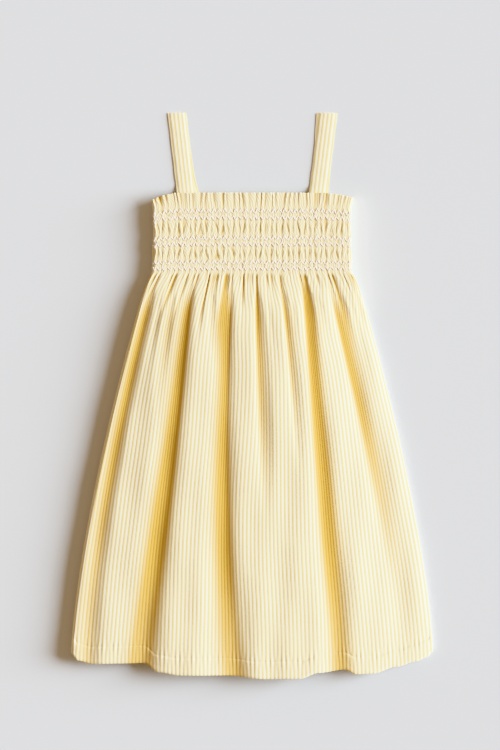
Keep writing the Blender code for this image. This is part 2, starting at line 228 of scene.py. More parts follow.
# %% Cross section and folds
def section(across, below_waist):
    """X and height of the plain arch, without folds or pleats."""
    into_skirt = smooth(below_waist / SKIRT_RISE)
    width = half_width(below_waist)
    side = blend(BODICE_ROUND, np.where(across < 0, LEFT_ROUND, SKIRT_ROUND), into_skirt)
    crest = blend(CREST_Z, HEM_Z, smooth(below_waist / SKIRT_DEPTH))
    top = blend(BODICE_Z, crest, into_skirt)
    quarter = pi / 2 * np.sqrt((side**2 + (top - SEAM_Z) ** 2) / 2)
    walked = np.abs(across) * (width - side + quarter)
    turn = np.clip((walked - width + side) / quarter, 0, 1) * pi / 2
    x = np.where(turn > 0, width - side + side * np.sin(turn), walked)
    slope = LEFT_SLOPE * smooth((-across - 0.35) / 0.65) + RIGHT_SLOPE * smooth((across - 0.3) / 0.7)
    slope = 1 - slope * into_skirt
    z = SEAM_Z + (top - SEAM_Z) * np.cos(turn) * slope
    return np.sign(across) * x, z


def fold_depths(x, below_waist, folds):
    """How far each fold of a table sinks the cloth, the narrow parts alone, and the lean."""
    width = half_width(below_waist)
    total = np.zeros_like(x)
    narrow = np.zeros_like(x)
    lean = np.zeros_like(x)
    for fold in folds:
        start, end = fold.start * MM, fold.end * MM
        along = np.clip((below_waist - start) / (end - start), 0, 1)
        centre = width * through_three(fold.at_top, fold.at_middle, fold.at_end, along)
        depth = CLOTH_DEPTH * blend(fold.depth, fold.end_depth, smooth(along * 1.25 - 0.25)) * MM
        depth = depth * smooth((below_waist - start) / FOLD_RISE)
        reach = blend(CLOTH_WIDTH * fold.width, 0.9 * fold.end_width, along**0.7) * MM
        reach = reach * blend(np.where(x < centre, fold.left, fold.right), 1.1, EVENING * along)
        away = (x - centre) / reach
        near = depth * np.exp(-(away**2))
        narrow += near
        total += near * (1 - WIDE_SHARE) + depth * WIDE_SHARE * np.exp(-((away / WIDE_REACH) ** 2))
        if max(fold.left, fold.right) > 1.5 * min(fold.left, fold.right):
            steep = 1 if fold.right < fold.left else -1
            crest = np.exp(-(((away * steep - 1.1) / 0.8) ** 2)) * smooth(away * steep * 1.5)
            lean -= steep * LIP * (1 - along) * reach * crest * np.clip(depth / (4 * MM), 0, 1)
    return total, narrow, lean


def front_base(across, below_waist, folds=FOLDS):
    """X, height, narrow fold depth and lean of the front without its small pleats."""
    x, z = section(across, below_waist)
    from_seam = (1 - np.abs(across)) * half_width(below_waist)
    fade = smooth((from_seam - SEAM_KEPT) / SEAM_FADE)
    total, narrow, lean = fold_depths(x, below_waist, folds)
    sunk = total * fade
    over = z - sunk - VALLEY_Z
    eased = VALLEY_Z + (over + np.sqrt(over**2 + FOLD_SOFT**2)) / 2
    z = blend(z, np.minimum(z, eased), np.minimum(1.0, sunk / MM))
    return x, z, narrow * fade, lean * fade


waist_x, waist_z = section(np.array([0.0, 1.0]), np.array([0.0, 0.0]))
print("middle and edge of the arch at the waist: x", waist_x, "height", waist_z)


# %% [markdown]
# ## Pleats
# Smocking holds the cloth in upright pleats. A thread pinches them in three bands.
# Above, between and below the bands they stand open, with dark gaps between them.
# Below the last thread most of the gaps close within a few centimetres, and some
# run on into the folds. A table names those: the pleat, a depth and how far it runs.

# %% Table of the gathers
Gather = namedtuple("Gather", "gap depth reach")
GATHERS = [
    Gather(1, 3.2, 40),
    Gather(2, 1.6, 16),
    Gather(3, 2.2, 22),
    Gather(5, 1.6, 16),
    Gather(6, 3.0, 44),
    Gather(8, 1.8, 60),
    Gather(9, 1.5, 12),
    Gather(10, 2.0, 20),
    Gather(12, 3.6, 46),
    Gather(13, 1.8, 22),
    Gather(15, 2.4, 60),
    Gather(16, 1.6, 18),
    Gather(18, 3.2, 30),
    Gather(19, 1.4, 15),
    Gather(20.4, 3.4, 44),
    Gather(22, 1.6, 16),
    Gather(23, 1.8, 20),
    Gather(24.6, 2.6, 46),
    Gather(28, 1.8, 24),
    Gather(28.7, 2.8, 36),
    Gather(31, 1.4, 16),
    Gather(33, 1.6, 20),
    Gather(34, 2.6, 50),
    Gather(36, 1.6, 20),
    Gather(37, 1.8, 20),
    Gather(38, 3.0, 30),
]
print(len(GATHERS), "gathers run on below the smocking")

# %% [markdown]
# The pleats could be sculpted one by one. One formula for all of them is quicker to
# change, and small uneven shares keep each pleat a little different from the next.

# %% Shape of the pleats
def uneven(n, seed):
    """A steady value from -1 to 1 for each whole number, with no pattern."""
    return np.sin(n * 12.9898 + seed * 78.233) * np.cos(n * 4.1414 + seed * 3.7)


def pleat_opening(below_top):
    """How open the pleats are: 0 where a thread pinches them, 1 where they are free."""
    edges = np.concatenate([[-HEADING_DEPTH], STITCH_LINES])
    n = np.clip(np.searchsorted(edges, below_top, side="right") - 1, 0, len(edges) - 2)
    a, b = edges[n], edges[n + 1]
    most = np.where(b - a < 8 * MM, 0.45, 1.0)
    return most * np.sin(pi * np.clip((below_top - a) / (b - a), 0, 1)) ** 0.8


def pleats(across, below_top):
    """Sideways shift and rise that the pleats give the front, and the painted shade in their gaps."""
    place = (across + 1) / 2 * PLEATS
    line = np.interp(below_top, STITCH_LINES, np.arange(len(STITCH_LINES)))
    sway = 0.13 * np.sin(pi * place) + 0.16 * np.sin(2.9 * place + 1.3 + line / 3)
    place = place + 0.10 * np.sin(2.1 * place + 0.7) + 0.06 * np.sin(4.7 * place) + sway * np.cos(pi * line)
    number, border = np.floor(place), np.round(place)
    within = place - number
    side = np.clip((1 - np.abs(across)) * PLEATS, 0, 1)
    opening = pleat_opening(below_top)
    past = np.maximum(0, below_top - LAST_LINE)
    after = smooth(past / (6 * MM))

    turn = np.where(number % 2 == 0, 1.0, -1.0)
    wave = np.cos(pi * line)
    ease = opening * 0.4 + 0.6
    own = uneven(number + 7 * np.round(line), 3)
    round_top = np.sin(pi * within) ** 0.9
    crest = np.sin(pi * within) ** 0.34
    gap_own = 0.6 + 0.8 * smooth(0.5 + 0.6 * uneven(border + 5 * np.floor(line / 3), 2))
    # The gaps are deeper, and their painted shade darker, towards the heading's left corner.
    corner = 1 + 2.0 * smooth((-across - 0.62) / 0.3) * smooth(1 - below_top / HEADING_DEPTH)
    gap = (0.14 + 0.5 * opening) * MM * gap_own * corner
    body = (0.10 + 0.24 * opening) * MM * (1 + 0.35 * uneven(number, 1))
    smocked = 0.8 * MM + body * round_top - gap * (1 - crest)

    swell = (0.8 * MM + 0.8 * MM * smooth(past / (7 * MM))) * np.exp(-past / (26 * MM))
    gathered = np.zeros_like(place)
    for row in GATHERS:
        reach = row.reach * MM
        width = 0.25 + 0.3 * past / (60 * MM)
        depth = 0.46 * row.depth * MM * np.exp(-((past / reach) ** 2)) * smooth(past / (3 * MM))
        gathered += depth * np.exp(-(((place - row.gap) / width) ** 2))
    fine = 0.85 * MM * (1 - crest) * np.exp(-past / (14 * MM))
    rise = blend(smocked, swell - gathered - fine, after) * side

    pair = 0.45 * MM * turn * wave * ease * np.sin(pi * within) ** 2
    tilt = 1.0 * MM * own * np.sin(pi * (line % 1)) * np.sin(pi * within) ** 2
    free = np.maximum(0.0, 1 - below_top / HEADING_DEPTH)
    stray = 1.1 * MM * np.sin(23 * across) + 0.8 * MM * np.sin(41 * across + 1)
    stray += 0.9 * MM * uneven(number, 5) * np.sin(pi * within)
    lean = free * (stray * (1 - across**4) + 2.0 * MM * across * np.abs(across))
    wander = 0.35 * MM * np.sin(below_top / (4.1 * MM) + 9 * across)
    shift = (lean + (pair + tilt + wander) * (1 - after)) * side
    # Painted shade: a little over all the smocking, more in the gaps between pleats and in the gathers
    # below.
    painted_shade = 0.1 + (1 - crest) * (0.45 + 0.4 * opening) * gap_own * corner
    painted_shade = blend(painted_shade, gathered / (1.5 * MM) + 0.9 * (1 - crest) * np.exp(-past / (12 * MM)), after)
    return shift, rise, np.clip(painted_shade * side, 0, 1)


print("openness of the pleats at each thread:", pleat_opening(STITCH_LINES).round(2))

# %% [markdown]
# ## The front panel
# The front is one grid of points, from the heading's edge to the hem. The rows lie
# level in the smocking and follow the hem further down. Behind it lies a much
# coarser plain wall, joined at the edges, which makes the cloth a thin closed shell
# without doubling ninety thousand faces.

# %% Rows and columns of the front
COLUMNS = PLEATS * 10
across_line = np.linspace(-1, 1, COLUMNS + 1)
smocked_rows = np.linspace(0, BODICE_DEPTH, 112)
gather_rows = BODICE_DEPTH + np.linspace(0, GATHER_DEPTH, 40)[1:]
skirt_shares = np.linspace(GATHER_DEPTH / SKIRT_DEPTH, 1 - 30 * MM / SKIRT_DEPTH, 58)[1:]
above_hem = np.array([27, 24, 22, 20.5, 19.3, 18.6, 18, 17.4, 16.6, 15, 12, 9, 6, 3.5, 1.8, 0.7, 0]) * MM
hem_shares = 1 - above_hem / SKIRT_DEPTH
down_shares = np.concatenate([skirt_shares, hem_shares])


def front_rows(across):
    """Y of every row at every column, down from the heading's edge."""
    start = np.concatenate([smocked_rows, gather_rows])[:, None]
    x_share = section(across[None, :], start - BODICE_DEPTH)[0] / BODICE_HALF
    fall = np.clip(1 - start / BODICE_DEPTH, 0, 1)
    upper = TOP_Y - start - top_drop(x_share) * fall
    share = down_shares[:, None]
    rise = hem_rise(hem_share(across))[None, :] * smooth((share - 0.2) / 0.7)
    lower = WAIST_Y - share * SKIRT_DEPTH + rise
    return np.vstack([upper, lower])


print("rows of the front:", len(smocked_rows) + len(gather_rows) + len(down_shares))


# %% [markdown]
# The hem is cloth turned up once and stitched, so the front is a little thicker
# there and puckers along the thread. The place on the cloth is measured by walking
# along the formed surface, so that the stripes neither stretch nor slide over folds.

# %% Relief of the hem, and places on the cloth
def hem_relief(x, y, across, u):
    """The hem's second layer, its line of stitching and the puckers that it pulls."""
    edge = -LENGTH / 2 + hem_rise(hem_share(across))
    above = y - edge
    layer = 0.45 * MM * smooth((HEM_TURN + 0.6 * MM - above) / (1.2 * MM))
    groove = -0.35 * MM * np.exp(-(((above - HEM_TURN + 0.4 * MM) / (0.9 * MM)) ** 2))
    groove -= 0.15 * MM * np.exp(-(((above - 5.6 * MM) / (0.8 * MM)) ** 2))
    pucker = 0.22 * MM * np.sin(2 * pi * u / (5.6 * MM) + np.sin(u / (17 * MM)))
    pucker = pucker * np.exp(-(((above - HEM_TURN) / (6 * MM)) ** 2))
    rounded = -0.8 * MM * smooth((1.8 * MM - above) / (1.8 * MM)) ** 2
    return layer + groove + pucker + rounded


def cloth_place(x, y, z, gap):
    """Distance across and down the cloth at each point, with the slack in the gaps."""
    step = np.hypot(np.diff(x, axis=1), np.diff(z, axis=1))
    slack = (gap[:, 1:] + gap[:, :-1]) / 2 + 0.02
    walked = step.sum(axis=1)
    spare = CUT_WIDTH - walked
    print("along the cloth at the top, halfway and at the hem:", walked[[0, len(walked) // 2, -1]].round(3))
    weight = 1 + spare[:, None] / (slack * step).sum(axis=1)[:, None] * slack
    weight = np.maximum(weight, 0.2)
    u = np.concatenate([np.zeros((len(x), 1)), np.cumsum(weight * step, axis=1)], axis=1)
    u = (u / u[:, -1:] - 0.5) * CUT_WIDTH
    down = np.hypot(np.diff(y, axis=0), np.diff(z, axis=0) * 0.5)
    v = np.concatenate([np.zeros((1, x.shape[1])), np.cumsum(down, axis=0)], axis=0)
    return u, v


# %% [markdown]
# Everything meets here: the arch with its folds and creases, the pleats, a slight
# ripple of the loose skirt and the hem. The gap value is painted shade, greatest
# inside folds and pleat gaps and along the flanks, and the material darkens the
# colour towards gold there.

# %% The front's points
def front_grid(across):
    """The front's outer points as x, y, z, place across and down the cloth, and the painted shade of its
    folds.
    """
    y = front_rows(across)
    below_waist = WAIST_Y - y
    across = np.broadcast_to(across, y.shape)
    x, z, narrow, lean = front_base(across, below_waist, FOLDS + CREASES)
    below_top = np.maximum(0, below_waist + BODICE_DEPTH)
    shift, rise, pleat_shade = pleats(across, below_top)
    soft = smooth(below_waist / (40 * MM))
    ripple = 0.35 * MM * np.sin(x / (9 * MM) + y / (41 * MM)) * np.sin(y / (33 * MM) + 1.3)
    ripple += 0.25 * MM * np.sin(x / (5.2 * MM) - y / (57 * MM) + 2)
    side = np.clip((1 - np.abs(across)) * 20, 0, 1)
    z = z + rise + ripple * soft * side
    x = x + shift + lean
    # Painted shade along both flanks of the skirt, more on the left.
    flank_shade = 0.3 * smooth((-across - 0.76) / 0.1) + 0.15 * smooth((across - 0.93) / 0.06)
    flank_shade = flank_shade * smooth(below_waist / SKIRT_RISE)
    # The painted shade in the folds weakens towards the hem.
    paler = 1 - 0.34 * smooth((below_waist - 210 * MM) / (200 * MM))
    # gap: painted shade from the folds, the pleat gaps and the flanks together.
    gap = np.clip(narrow / (3.5 * MM), 0, 1.1) * paler + pleat_shade * 0.95 + flank_shade
    u, v = cloth_place(x, y, z, gap)
    z = z + hem_relief(x, y, across, u) * np.clip((1 - np.abs(across)) * 30, 0.25, 1)
    y = y + np.where(below_top < 0.2 * MM, 0.5 * np.maximum(rise, 0), 0)
    return x, y, z, u, v, np.clip(gap, 0, 1)


front = front_grid(across_line)
print("front grid:", front[0].shape, "height", front[2].min(), front[2].max())


# %% [markdown]
# ## Making cloth from grids of points
# A mesh is built from its points and faces, and its normals are turned outwards.
# A piece of cloth also stores its place on the flat cloth, as a UV map, and a painted
# shade that grows with how deep each point lies in a gap, as an attribute that the
# material reads.

# %% Helper that makes a piece of cloth
def cloth_object(name, points, faces, u, v, gap, material):
    """A closed smooth mesh, normals outwards, that knows its place on the cloth."""
    mesh = bpy.data.meshes.new(name)
    mesh.from_pydata(points.tolist(), [], faces)
    bm = bmesh.new()
    bm.from_mesh(mesh)
    bmesh.ops.recalc_face_normals(bm, faces=bm.faces)
    bm.to_mesh(mesh)
    bm.free()
    corner = np.zeros(len(mesh.loops), np.int32)
    mesh.loops.foreach_get("vertex_index", corner)
    placed = np.stack([u, v], axis=-1)[corner]
    uv = mesh.uv_layers.new(name="cloth")
    uv.data.foreach_set("uv", placed.astype(np.float32).ravel())
    # gap carries painted shade, which the material turns into a darker gold.
    depth = mesh.attributes.new("gap", "FLOAT", "POINT")
    depth.data.foreach_set("value", gap.astype(np.float32))
    mesh.shade_smooth()
    obj = bpy.data.objects.new(name, mesh)
    bpy.context.scene.collection.objects.link(obj)
    mesh.materials.append(material)
    print(name, "faces:", len(mesh.polygons))
    return obj


# %% [markdown]
# A grid becomes one four-sided face for each cell. A Solidify modifier could give it
# a thickness, but would double every face and cross itself in tight gaps. So a wall
# has two grids, fine outside and coarse inside. Their edges are zipped together with
# triangles: each step goes to whichever side has the nearer next point.

# %% A wall from two grids
def zip_edges(edge_a, edge_b):
    """Triangles between two lines of (place, vertex number)."""
    faces = []
    i = j = 0
    while i < len(edge_a) - 1 or j < len(edge_b) - 1:
        next_a = edge_a[i + 1][0] if i < len(edge_a) - 1 else 1e9
        next_b = edge_b[j + 1][0] if j < len(edge_b) - 1 else 1e9
        if next_a <= next_b:
            faces.append((edge_a[i][1], edge_b[j][1], edge_a[i + 1][1]))
            i += 1
        else:
            faces.append((edge_a[i][1], edge_b[j][1], edge_b[j + 1][1]))
            j += 1
    return faces


def grid_faces(rows, columns, first):
    """Four-sided faces of a grid whose first vertex has the number given."""
    corner = (np.arange(rows - 1)[:, None] * columns + np.arange(columns - 1)[None, :]) + first
    faces = np.stack([corner, corner + columns, corner + columns + 1, corner + 1], axis=-1)
    return faces.reshape(-1, 4).tolist()


def border(number, place_x, place_y):
    """The four edges of a grid of vertex numbers, each with its places."""
    return {
        "top": list(zip(place_x, number[0])),
        "bottom": list(zip(place_x, number[-1])),
        "left": list(zip(place_y, number[:, 0])),
        "right": list(zip(place_y, number[:, -1])),
    }


def shell(name, outer, inner, across_outer, across_inner, rows_outer, rows_inner, material):
    """A closed wall of cloth from an outer and an inner grid of (x, y, z, u, v, gap)."""
    points, fields, borders, faces = [], [], [], []
    first = 0
    for grid, across, rows in ((outer, across_outer, rows_outer), (inner, across_inner, rows_inner)):
        shape = grid[0].shape
        points.append(np.stack(grid[:3], axis=-1).reshape(-1, 3))
        fields.append(np.stack(grid[3:], axis=-1).reshape(-1, 3))
        number = np.arange(shape[0] * shape[1]).reshape(shape) + first
        borders.append(border(number, across, rows))
        faces += grid_faces(shape[0], shape[1], first)
        first += shape[0] * shape[1]
    for side in ("top", "bottom", "left", "right"):
        faces += zip_edges(borders[0][side], borders[1][side])
    walked, down, gap = np.vstack(fields).T
    return cloth_object(
        name, np.vstack(points), faces, walked / CUT_WIDTH + 0.5, down / LENGTH, gap, material
    )


print("faces of a grid of 3 by 3 points:", len(grid_faces(3, 3, 0)))


# %% [markdown]
# ## Writing materials as sums
# A shader is easier to read as arithmetic. This class wraps a socket, so that
# `mask * 2` adds a Math node, and one method adds any other node.

# %% A wrapped socket
class Value:
    """A shader value: arithmetic on it adds Math nodes to its material."""

    def __init__(self, tree, socket):
        self.tree, self.socket = tree, socket

    def node(self, kind, inputs=(), **settings):
        made = self.tree.nodes.new(kind)
        for key, setting in settings.items():
            setattr(made, key, setting)
        for key, given in dict(inputs).items():
            self.feed(made.inputs[key], given)
        return made

    def feed(self, socket, given):
        if isinstance(given, Value):
            self.tree.links.new(given.socket, socket)
        else:
            socket.default_value = given

    def math(self, operation, *given):
        made = self.node("ShaderNodeMath", enumerate(given), operation=operation)
        return Value(self.tree, made.outputs[0])

    def __add__(self, other):
        return self.math("ADD", self, other)

    def __radd__(self, other):
        return self.math("ADD", other, self)

    def __sub__(self, other):
        return self.math("SUBTRACT", self, other)

    def __mul__(self, other):
        return self.math("MULTIPLY", self, other)

    def mix(self, a, b):
        """Colour a where this value is 0 and b where it is 1."""
        made = self.node("ShaderNodeMix", data_type="RGBA")
        self.feed(made.inputs["Factor"], self)
        colour_a = [s for s in made.inputs if s.name == "A" and s.type == "RGBA"][0]
        colour_b = [s for s in made.inputs if s.name == "B" and s.type == "RGBA"][0]
        self.feed(colour_a, a)
        self.feed(colour_b, b)
        out = [s for s in made.outputs if s.type == "RGBA"][0]
        return Value(self.tree, out)


def srgb(red, green, blue):
    """A picture's 0 to 255 colour as the linear colour that a shader takes."""
    def linear(c):
        c = c / 255
        return c / 12.92 if c <= 0.04045 else ((c + 0.055) / 1.055) ** 2.4

    return (linear(red), linear(green), linear(blue), 1.0)


print("a middle grey as a linear colour:", srgb(128, 128, 128))


# %% [markdown]
# ## Seersucker
# Seersucker is woven with some warp threads slack, so one stripe lies flat and the
# next one puckers. Here the yellow stripes pucker. The pattern reads the cloth's own
# map, so each stripe runs down the pleats and into the folds as it does on cloth cut
# along the grain. Inside folds and gaps the colour is multiplied towards a dark gold:
# painted shade, standing in for the shadow there and for light that comes through two
# layers of cloth.

# %% Stripe material
WHITE_STRIPE = srgb(254, 247, 230)
YELLOW_STRIPE = srgb(243, 228, 170)
# Painted shade: the dark gold that folds and gaps are multiplied towards.
FOLD_SHADE_GOLD = srgb(222, 187, 84)
WEAVE = 0.55 * MM  # from one warp thread to the next


def seersucker(name, stripes_across, metres_across, metres_down, shade_strength):
    material = bpy.data.materials.new(name)
    material.use_nodes = True
    tree = material.node_tree
    shader = tree.nodes["Principled BSDF"]
    start = Value(tree, shader.outputs[0])
    cloth = start.node("ShaderNodeUVMap", uv_map="cloth")
    parts = start.node("ShaderNodeSeparateXYZ", {"Vector": Value(tree, cloth.outputs["UV"])})
    u = Value(tree, parts.outputs["X"])
    v = Value(tree, parts.outputs["Y"])

    in_millimetres = start.node(
        "ShaderNodeCombineXYZ", {"X": u * (metres_across / MM), "Y": v * (metres_down / MM)}
    )
    on_cloth = Value(tree, in_millimetres.outputs[0])

    def noise(scale_x, scale_y, detail=2.0):
        stretch = start.node("ShaderNodeMapping", {"Vector": on_cloth, "Scale": (scale_x, scale_y, 1)})
        made = start.node(
            "ShaderNodeTexNoise",
            {"Vector": Value(tree, stretch.outputs[0]), "Scale": 1.0, "Detail": detail},
        )
        return Value(tree, made.outputs[0])

    in_pair = (u * stripes_across).math("FRACT", u * stripes_across)
    from_middle = in_pair.math("ABSOLUTE", in_pair - 0.5)
    edge = start.node(
        "ShaderNodeMapRange",
        {"Value": from_middle, "From Min": 0.19, "From Max": 0.29, "To Min": 1.0, "To Max": 0.0},
        interpolation_type="SMOOTHSTEP",
    )
    yellow = Value(tree, edge.outputs[0])
    slub = noise(1.1, 0.12)
    stripe = (yellow * (0.86 + slub * 0.28)).mix(WHITE_STRIPE, YELLOW_STRIPE)

    # Painted shade: the gap attribute darkens the stripes towards gold.
    gap = Value(tree, start.node("ShaderNodeAttribute", attribute_name="gap").outputs["Fac"])
    painted_shade = start.node(
        "ShaderNodeMapRange",
        {"Value": gap, "From Min": 0.05, "From Max": 0.95, "To Min": 0.0, "To Max": shade_strength},
        interpolation_type="SMOOTHSTEP",
    )
    shade_mix = start.node("ShaderNodeMix", data_type="RGBA", blend_type="MULTIPLY")
    start.feed(shade_mix.inputs["Factor"], Value(tree, painted_shade.outputs[0]))
    colours = [s for s in shade_mix.inputs if s.type == "RGBA"]
    start.feed(colours[0], stripe)
    start.feed(colours[1], FOLD_SHADE_GOLD)
    result = [s for s in shade_mix.outputs if s.type == "RGBA"][0]
    tree.links.new(result, shader.inputs["Base Color"])

    pucker = noise(0.42, 0.62, 1.0)
    ripple = noise(0.16, 1.05, 1.0)
    weave_a = (u * (metres_across / WEAVE)).math("PINGPONG", u * (metres_across / WEAVE), 1.0)
    weave_b = (v * (metres_down / WEAVE)).math("PINGPONG", v * (metres_down / WEAVE), 1.0)
    height = yellow * (ripple * 0.9 + pucker * 0.5) + (weave_a + weave_b) * 0.05
    bump = start.node("ShaderNodeBump", {"Strength": 0.55, "Distance": 0.0005, "Height": height})
    tree.links.new(bump.outputs[0], shader.inputs["Normal"])
    rough = 0.82 + pucker * 0.1
    tree.links.new(rough.socket, shader.inputs["Roughness"])
    shader.inputs["Sheen Weight"].default_value = 0.15
    shader.inputs["Sheen Roughness"].default_value = 0.5
    shader.inputs["Specular IOR Level"].default_value = 0.25
    return material


panel_cloth = seersucker("striped_seersucker", STRIPES, CUT_WIDTH, LENGTH, 0.9)
print("material:", panel_cloth.name)


# %% [markdown]
# ## Cutting the front out
# Now the grid becomes the front panel. Its plain inner wall lies about a millimetre
# behind it and has a point at every fifth column only. A coarse wall could cut
# through the gaps of a fine one, so it keeps under the lowest of the points nearby.

# %% Inner wall of the front
def inner_wall(across, rows):
    """The front's plain back face: square in from the cloth, without its pleats."""
    y = front_rows(across)[rows]
    below_waist = WAIST_Y - y
    wide = np.broadcast_to(across, y.shape)
    step = 0.004
    x0, z0 = front_base(np.maximum(-1, wide - step), below_waist)[:2]
    x1, z1 = front_base(np.minimum(1, wide + step), below_waist)[:2]
    length = np.hypot(x1 - x0, z1 - z0)
    x, z = front_base(wide, below_waist)[:2]
    wall = 1.0 * MM * np.clip((1 - np.abs(wide)) * 12, 0.3, 1)
    return x + (z1 - z0) / length * wall, y, z - (x1 - x0) / length * wall


def lowest_near(field, rows, columns):
    """The least of each place's neighbours, so that a coarse wall stays behind a fine one."""
    for axis, reach in ((0, rows), (1, columns)):
        margin = [(reach, reach) if k == axis else (0, 0) for k in (0, 1)]
        padded = np.pad(field, margin, mode="edge")
        size = field.shape[axis]
        shifts = [np.take(padded, range(k, k + size), axis=axis) for k in range(2 * reach + 1)]
        field = np.min(shifts, axis=0)
    return field


every_fifth = np.arange(0, COLUMNS + 1, 5)
row_count = front[0].shape[0]
skirt_row = len(smocked_rows) + len(gather_rows) - 1
some_rows = sorted({*range(0, skirt_row + 1, 4), *range(skirt_row, row_count, 3), row_count - 1})
inner_x, inner_y, inner_z = inner_wall(across_line[every_fifth], some_rows)
behind = lowest_near(front[2], 4, 7)[some_rows][:, every_fifth] - 0.3 * MM
edge_share = np.clip((1 - np.abs(across_line[every_fifth])) * 18, 0, 1)
inner_z = blend(inner_z, np.minimum(inner_z, behind), edge_share)
inner = (inner_x, inner_y, inner_z, *[field[some_rows][:, every_fifth] for field in front[3:]])
print("inner wall:", inner_x.shape, "height", inner_z.min(), inner_z.max())

# %% [markdown]
# The shell takes the solid's place: it rides on the part and replaces the plain panel.

# %% Front panel
front_cloth = shell(
    "front_cloth", front, inner, across_line, across_line[every_fifth],
    np.arange(row_count), np.array(some_rows), panel_cloth,
)
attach(front_cloth, "root")
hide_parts("front_panel")

# %% [markdown]
# ## The back panel
# The back lies under the front and is seen from beneath and through the openings.
# It is cut and smocked as the front is. The surface presses its pleats flat, so
# their crests all but touch it, and the gaps between them are shallow hollows.

# %% Back panel
BACK_COLUMNS = PLEATS * 6
back_across = np.linspace(-1, 1, BACK_COLUMNS + 1)
back_gathers = BODICE_DEPTH + np.linspace(0, GATHER_DEPTH, 22)[1:]
back_rows = np.concatenate([np.linspace(0, BODICE_DEPTH, 70), back_gathers])
back_skirt = np.linspace(GATHER_DEPTH / SKIRT_DEPTH, 1 - 27 * MM / SKIRT_DEPTH, 36)[1:]
back_hem = 1 - np.array([24, 21, 19, 18.2, 17.4, 16.5, 13, 9, 5, 2, 0]) * MM / SKIRT_DEPTH
back_shares = np.concatenate([back_skirt, back_hem])


def back_grid(across):
    """The back's points, pressed flat: its pleats turn into hollows beneath."""
    start = back_rows[:, None]
    fall = np.clip(1 - start / BODICE_DEPTH, 0, 1)
    upper = TOP_Y - start - (top_drop(across)[None, :] + 1.5 * MM) * fall
    share = back_shares[:, None]
    rise = (hem_rise(across)[None, :] + 3 * MM) * smooth((share - 0.2) / 0.7)
    y = np.vstack([upper, WAIST_Y - share * SKIRT_DEPTH + rise])
    below_waist = WAIST_Y - y
    wide = np.broadcast_to(across, y.shape)
    x = wide * half_width(below_waist)
    shift, relief, pleat_shade = pleats(-wide, np.maximum(0, below_waist + BODICE_DEPTH))
    depth = np.clip(1.6 * MM - relief, 0, 4 * MM) * 0.28 * np.exp(-np.maximum(0, below_waist) / (60 * MM))
    depth = np.minimum(depth, 1.1 * MM) * np.clip((1 - np.abs(wide)) * 20, 0, 1)
    u, v = cloth_place(x, y, depth, pleat_shade + 0.1)
    # The back's pleat gaps carry painted shade as well.
    return x - shift * 0.7, y, depth, u, v, np.clip(pleat_shade * 0.8, 0, 1)


back = back_grid(back_across)
few_columns = np.arange(0, BACK_COLUMNS + 1, 6)
back_count = back[0].shape[0]
back_skirt_row = len(back_rows) - 1
few_rows = sorted({*range(0, back_skirt_row + 1, 5), *range(back_skirt_row, back_count, 3), back_count - 1})
back_inner = [field[few_rows][:, few_columns] for field in back]
back_inner[2] = np.full_like(back_inner[2], 1.75 * MM)
back_cloth = shell(
    "back_cloth", back, back_inner, back_across, back_across[few_columns],
    np.arange(back_count), np.array(few_rows), panel_cloth,
)
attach(back_cloth, "root")
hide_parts("back_panel")

# %% [markdown]
# ## The straps
# A strap is a tube of cloth turned right side out and pressed flat. Its stripes run
# along it. It starts inside the front's top edge, runs up to the shoulder, folds
# over there and comes back underneath to the back's top edge.

# %% Path of a strap
StrapLine = namedtuple("StrapLine", "name x_fold x_bodice x_fold_under x_bodice_under")
STRAPS = [
    StrapLine("strap_left", -80.0, -70.2, -79.6, -64.8),
    StrapLine("strap_right", 80.6, 70.0, 77.6, 70.6),
]
STRAP_TUCK = 14 * MM
STRAP_HALF = 0.36 * MM
STRAP_WALL = 0.18 * MM
STRAP_DROOP = 0.85 * MM
UNDER_FRONT = 1.8 * MM  # the strap starts this far under the bodice's top
STRAP_END_Z = 2.6 * MM  # and ends at this height, on the back's top edge


def strap_path(line, steps=56):
    """Points along the middle of a strap, from inside the front to the back."""
    front_z = BODICE_Z - UNDER_FRONT - STRAP_HALF
    radius = STRAP_HALF + 0.1 * MM
    under_z = STRAP_HALF + 0.02 * MM
    reach = STRAP_RISE - STRAP_HALF - radius
    points = []
    for n in range(steps + 1):
        up = -STRAP_TUCK + (reach + STRAP_TUCK) * n / steps
        share = max(0.0, up / reach)
        z = blend(front_z, under_z + 2 * radius, float(smooth((up + STRAP_TUCK) / (25 * MM))))
        points.append((blend(line.x_bodice, line.x_fold, share) * MM, TOP_Y + up, z))
    for n in range(1, 10):
        turn = pi * n / 10
        x = blend(line.x_fold, line.x_fold_under, n / 10) * MM
        points.append((x, TOP_Y + reach + radius * sin(turn), under_z + radius * (1 + cos(turn))))
    for n in range(steps + 1):
        up = reach - (reach + STRAP_TUCK) * n / steps
        share = max(0.0, up / reach)
        x = blend(line.x_bodice_under, line.x_fold_under, share**0.65) * MM
        points.append((x, TOP_Y + up, blend(STRAP_END_Z, under_z, float(smooth(share * 8)))))
    return np.array(points)


print("points along a strap:", len(strap_path(STRAPS[0])))


# %% [markdown]
# A ring of points goes round the path at each step, wide and thin, with a second
# ring inside it. Between them lies the cloth of the tube, which is open at both
# ends. A curve with a bevel would do too, but its cloth would have no thickness.

